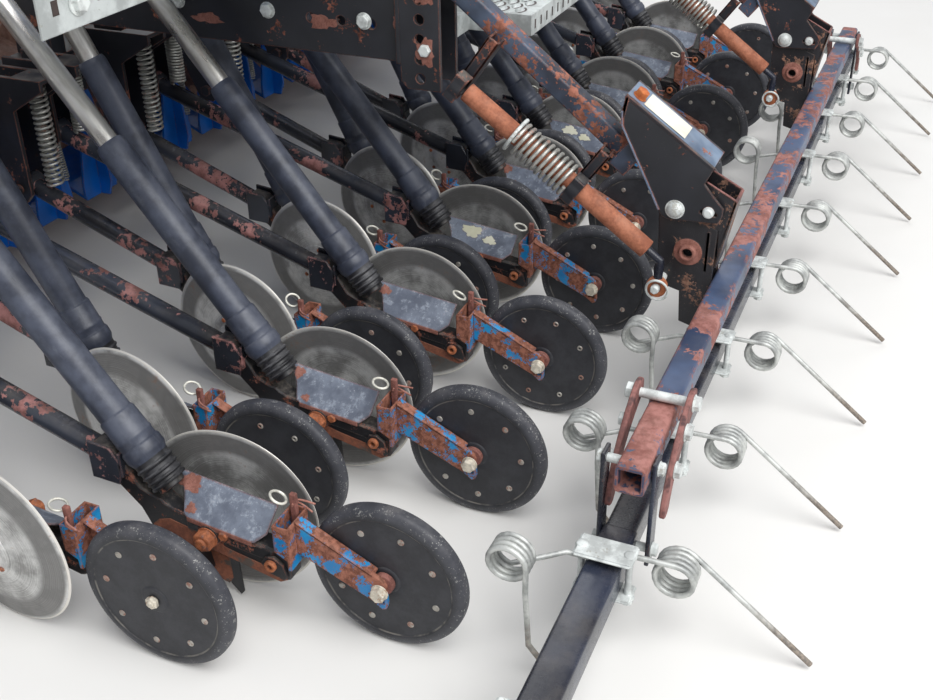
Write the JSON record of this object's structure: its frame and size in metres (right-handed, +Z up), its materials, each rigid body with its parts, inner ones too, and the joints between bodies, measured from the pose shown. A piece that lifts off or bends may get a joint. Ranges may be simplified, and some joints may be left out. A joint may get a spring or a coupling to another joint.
{
  "type": "seed drill",
  "caption": "Wide mounted seed drill with hopper, toothed packer roller, staggered disc coulters with press wheels, telescopic seed tubes and a following spring tine harrow.",
  "frame": {"origin": "on the floor, under the middle of the machine's box", "axes": "+X to the machine's right, +Y the way it travels, +Z up"},
  "size_m": [3.1512, 2.443, 1.65],
  "materials": {
    "black_paint": "worn black paint with rust",
    "blue_paint": "blue paint, scuffed",
    "arm_paint": "blue paint worn to rust",
    "harrow_paint": "rust with patches of blue grey paint",
    "roller_steel": "rusty toothed steel",
    "disc_steel": "ground worn steel",
    "shield_plate": "grey blue sheet, dusty",
    "zinc": "zinc plated",
    "galvanised": "galvanised sheet",
    "tine_steel": "galvanised spring wire",
    "tube_steel": "drawn steel tube",
    "strut_rust": "orange brown rust",
    "tube_plastic": "black plastic, dusty",
    "grey_plastic": "dark plastic",
    "wheel_rubber": "black rubber, dusty"
  },
  "bodies": {
    "frame": {"main_frame": "black_paint", "coulter_beam": "black_paint", "scrapers": "blue_paint", "scraper_springs": "zinc", "coulters": "black_paint", "pressure_springs": "zinc", "shields": "shield_plate", "wheel_arms": "arm_paint", "tubes_lower": "tube_plastic", "tubes_upper": "tube_steel", "metering": "grey_plastic", "hopper": "blue_paint", "walkway": "galvanised", "harrow_links": "black_paint", "strut_springs": "zinc"},
    "packer": {"roller": "roller_steel"},
    "lid": {"hopper_lid": "blue_paint"},
    "harrow": {"harrow_beam": "harrow_paint", "tine_clamps": "zinc", "tines": "tine_steel"},
    "strut_l": {"strut_left": "strut_rust"},
    "strut_r": {"strut_right": "strut_rust"},
    "disc_body_01": {"disc_01": "disc_steel"},
    "wheel_body_01": {"wheel_01": "wheel_rubber"},
    "disc_body_02": {"disc_02": "disc_steel"},
    "wheel_body_02": {"wheel_02": "wheel_rubber"},
    "disc_body_03": {"disc_03": "disc_steel"},
    "wheel_body_03": {"wheel_03": "wheel_rubber"},
    "disc_body_04": {"disc_04": "disc_steel"},
    "wheel_body_04": {"wheel_04": "wheel_rubber"},
    "disc_body_05": {"disc_05": "disc_steel"},
    "wheel_body_05": {"wheel_05": "wheel_rubber"},
    "disc_body_06": {"disc_06": "disc_steel"},
    "wheel_body_06": {"wheel_06": "wheel_rubber"},
    "disc_body_07": {"disc_07": "disc_steel"},
    "wheel_body_07": {"wheel_07": "wheel_rubber"},
    "disc_body_08": {"disc_08": "disc_steel"},
    "wheel_body_08": {"wheel_08": "wheel_rubber"},
    "disc_body_09": {"disc_09": "disc_steel"},
    "wheel_body_09": {"wheel_09": "wheel_rubber"},
    "disc_body_10": {"disc_10": "disc_steel"},
    "wheel_body_10": {"wheel_10": "wheel_rubber"},
    "disc_body_11": {"disc_11": "disc_steel"},
    "wheel_body_11": {"wheel_11": "wheel_rubber"},
    "disc_body_12": {"disc_12": "disc_steel"},
    "wheel_body_12": {"wheel_12": "wheel_rubber"},
    "disc_body_13": {"disc_13": "disc_steel"},
    "wheel_body_13": {"wheel_13": "wheel_rubber"},
    "disc_body_14": {"disc_14": "disc_steel"},
    "wheel_body_14": {"wheel_14": "wheel_rubber"},
    "disc_body_15": {"disc_15": "disc_steel"},
    "wheel_body_15": {"wheel_15": "wheel_rubber"},
    "disc_body_16": {"disc_16": "disc_steel"},
    "wheel_body_16": {"wheel_16": "wheel_rubber"},
    "disc_body_17": {"disc_17": "disc_steel"},
    "wheel_body_17": {"wheel_17": "wheel_rubber"},
    "disc_body_18": {"disc_18": "disc_steel"},
    "wheel_body_18": {"wheel_18": "wheel_rubber"},
    "disc_body_19": {"disc_19": "disc_steel"},
    "wheel_body_19": {"wheel_19": "wheel_rubber"}
  },
  "joints": [
    {"name": "disc_turn_01", "type": "hinge", "parent": "frame", "child": "disc_body_01", "pos_m": [-1.4211, -0.1245, 0.14], "axis": [0.9962, -0.0872, 0], "continuous": true},
    {"name": "wheel_turn_01", "type": "hinge", "parent": "frame", "child": "wheel_body_01", "pos_m": [-1.4211, -0.3865, 0.118], "axis": [1, 0, 0], "continuous": true},
    {"name": "disc_turn_02", "type": "hinge", "parent": "frame", "child": "disc_body_02", "pos_m": [-1.2632, -0.3965, 0.14], "axis": [0.9962, 0.0872, 0], "continuous": true},
    {"name": "wheel_turn_02", "type": "hinge", "parent": "frame", "child": "wheel_body_02", "pos_m": [-1.2632, -0.6585, 0.118], "axis": [1, 0, 0], "continuous": true},
    {"name": "disc_turn_03", "type": "hinge", "parent": "frame", "child": "disc_body_03", "pos_m": [-1.1053, -0.1245, 0.14], "axis": [0.9962, -0.0872, 0], "continuous": true},
    {"name": "wheel_turn_03", "type": "hinge", "parent": "frame", "child": "wheel_body_03", "pos_m": [-1.1053, -0.3865, 0.118], "axis": [1, 0, 0], "continuous": true},
    {"name": "disc_turn_04", "type": "hinge", "parent": "frame", "child": "disc_body_04", "pos_m": [-0.9474, -0.3965, 0.14], "axis": [0.9962, 0.0872, 0], "continuous": true},
    {"name": "wheel_turn_04", "type": "hinge", "parent": "frame", "child": "wheel_body_04", "pos_m": [-0.9474, -0.6585, 0.118], "axis": [1, 0, 0], "continuous": true},
    {"name": "disc_turn_05", "type": "hinge", "parent": "frame", "child": "disc_body_05", "pos_m": [-0.7895, -0.1245, 0.14], "axis": [0.9962, -0.0872, 0], "continuous": true},
    {"name": "wheel_turn_05", "type": "hinge", "parent": "frame", "child": "wheel_body_05", "pos_m": [-0.7895, -0.3865, 0.118], "axis": [1, 0, 0], "continuous": true},
    {"name": "disc_turn_06", "type": "hinge", "parent": "frame", "child": "disc_body_06", "pos_m": [-0.6316, -0.3965, 0.14], "axis": [0.9962, 0.0872, 0], "continuous": true},
    {"name": "wheel_turn_06", "type": "hinge", "parent": "frame", "child": "wheel_body_06", "pos_m": [-0.6316, -0.6585, 0.118], "axis": [1, 0, 0], "continuous": true},
    {"name": "disc_turn_07", "type": "hinge", "parent": "frame", "child": "disc_body_07", "pos_m": [-0.4737, -0.1245, 0.14], "axis": [0.9962, -0.0872, 0], "continuous": true},
    {"name": "wheel_turn_07", "type": "hinge", "parent": "frame", "child": "wheel_body_07", "pos_m": [-0.4737, -0.3865, 0.118], "axis": [1, 0, 0], "continuous": true},
    {"name": "disc_turn_08", "type": "hinge", "parent": "frame", "child": "disc_body_08", "pos_m": [-0.3158, -0.3965, 0.14], "axis": [0.9962, 0.0872, 0], "continuous": true},
    {"name": "wheel_turn_08", "type": "hinge", "parent": "frame", "child": "wheel_body_08", "pos_m": [-0.3158, -0.6585, 0.118], "axis": [1, 0, 0], "continuous": true},
    {"name": "disc_turn_09", "type": "hinge", "parent": "frame", "child": "disc_body_09", "pos_m": [-0.1579, -0.1245, 0.14], "axis": [0.9962, -0.0872, 0], "continuous": true},
    {"name": "wheel_turn_09", "type": "hinge", "parent": "frame", "child": "wheel_body_09", "pos_m": [-0.1579, -0.3865, 0.118], "axis": [1, 0, 0], "continuous": true},
    {"name": "disc_turn_10", "type": "hinge", "parent": "frame", "child": "disc_body_10", "pos_m": [0, -0.3965, 0.14], "axis": [0.9962, 0.0872, 0], "continuous": true},
    {"name": "wheel_turn_10", "type": "hinge", "parent": "frame", "child": "wheel_body_10", "pos_m": [0, -0.6585, 0.118], "axis": [1, 0, 0], "continuous": true},
    {"name": "disc_turn_11", "type": "hinge", "parent": "frame", "child": "disc_body_11", "pos_m": [0.1579, -0.1245, 0.14], "axis": [0.9962, -0.0872, 0], "continuous": true},
    {"name": "wheel_turn_11", "type": "hinge", "parent": "frame", "child": "wheel_body_11", "pos_m": [0.1579, -0.3865, 0.118], "axis": [1, 0, 0], "continuous": true},
    {"name": "disc_turn_12", "type": "hinge", "parent": "frame", "child": "disc_body_12", "pos_m": [0.3158, -0.3965, 0.14], "axis": [0.9962, 0.0872, 0], "continuous": true},
    {"name": "wheel_turn_12", "type": "hinge", "parent": "frame", "child": "wheel_body_12", "pos_m": [0.3158, -0.6585, 0.118], "axis": [1, 0, 0], "continuous": true},
    {"name": "disc_turn_13", "type": "hinge", "parent": "frame", "child": "disc_body_13", "pos_m": [0.4737, -0.1245, 0.14], "axis": [0.9962, -0.0872, 0], "continuous": true},
    {"name": "wheel_turn_13", "type": "hinge", "parent": "frame", "child": "wheel_body_13", "pos_m": [0.4737, -0.3865, 0.118], "axis": [1, 0, 0], "continuous": true},
    {"name": "disc_turn_14", "type": "hinge", "parent": "frame", "child": "disc_body_14", "pos_m": [0.6316, -0.3965, 0.14], "axis": [0.9962, 0.0872, 0], "continuous": true},
    {"name": "wheel_turn_14", "type": "hinge", "parent": "frame", "child": "wheel_body_14", "pos_m": [0.6316, -0.6585, 0.118], "axis": [1, 0, 0], "continuous": true},
    {"name": "disc_turn_15", "type": "hinge", "parent": "frame", "child": "disc_body_15", "pos_m": [0.7895, -0.1245, 0.14], "axis": [0.9962, -0.0872, 0], "continuous": true},
    {"name": "wheel_turn_15", "type": "hinge", "parent": "frame", "child": "wheel_body_15", "pos_m": [0.7895, -0.3865, 0.118], "axis": [1, 0, 0], "continuous": true},
    {"name": "disc_turn_16", "type": "hinge", "parent": "frame", "child": "disc_body_16", "pos_m": [0.9474, -0.3965, 0.14], "axis": [0.9962, 0.0872, 0], "continuous": true},
    {"name": "wheel_turn_16", "type": "hinge", "parent": "frame", "child": "wheel_body_16", "pos_m": [0.9474, -0.6585, 0.118], "axis": [1, 0, 0], "continuous": true},
    {"name": "disc_turn_17", "type": "hinge", "parent": "frame", "child": "disc_body_17", "pos_m": [1.1053, -0.1245, 0.14], "axis": [0.9962, -0.0872, 0], "continuous": true},
    {"name": "wheel_turn_17", "type": "hinge", "parent": "frame", "child": "wheel_body_17", "pos_m": [1.1053, -0.3865, 0.118], "axis": [1, 0, 0], "continuous": true},
    {"name": "disc_turn_18", "type": "hinge", "parent": "frame", "child": "disc_body_18", "pos_m": [1.2632, -0.3965, 0.14], "axis": [0.9962, 0.0872, 0], "continuous": true},
    {"name": "wheel_turn_18", "type": "hinge", "parent": "frame", "child": "wheel_body_18", "pos_m": [1.2632, -0.6585, 0.118], "axis": [1, 0, 0], "continuous": true},
    {"name": "disc_turn_19", "type": "hinge", "parent": "frame", "child": "disc_body_19", "pos_m": [1.4211, -0.1245, 0.14], "axis": [0.9962, -0.0872, 0], "continuous": true},
    {"name": "wheel_turn_19", "type": "hinge", "parent": "frame", "child": "wheel_body_19", "pos_m": [1.4211, -0.3865, 0.118], "axis": [1, 0, 0], "continuous": true},
    {"name": "packer_turn", "type": "hinge", "parent": "frame", "child": "packer", "pos_m": [0, 0.9015, 0.25], "axis": [1, 0, 0], "continuous": true},
    {"name": "lid_open", "type": "hinge", "parent": "frame", "child": "lid", "pos_m": [0, 0.8355, 1.594], "axis": [1, 0, 0], "range_deg": [-80, 0]},
    {"name": "harrow_swing", "type": "hinge", "parent": "frame", "child": "harrow", "pos_m": [0, -0.8595, 0.412], "axis": [1, 0, 0], "range_deg": [-12, 0], "stiffness_Nm_per_rad": 400, "springref_deg": 5.73, "deforming": ["strut_springs"]},
    {"name": "strut_turn_l", "type": "hinge", "parent": "harrow", "child": "strut_l", "pos_m": [-0.6, -0.8465, 0.279], "axis": [1, 0, 0], "range_deg": [0, 9]},
    {"name": "strut_turn_r", "type": "hinge", "parent": "harrow", "child": "strut_r", "pos_m": [0.46, -0.8465, 0.279], "axis": [1, 0, 0], "range_deg": [0, 9]}
  ],
  "couplings": [
    {"joint": "strut_turn_l", "follows": "harrow_swing", "ratio": -0.68},
    {"joint": "strut_turn_r", "follows": "harrow_swing", "ratio": -0.68}
  ]
}
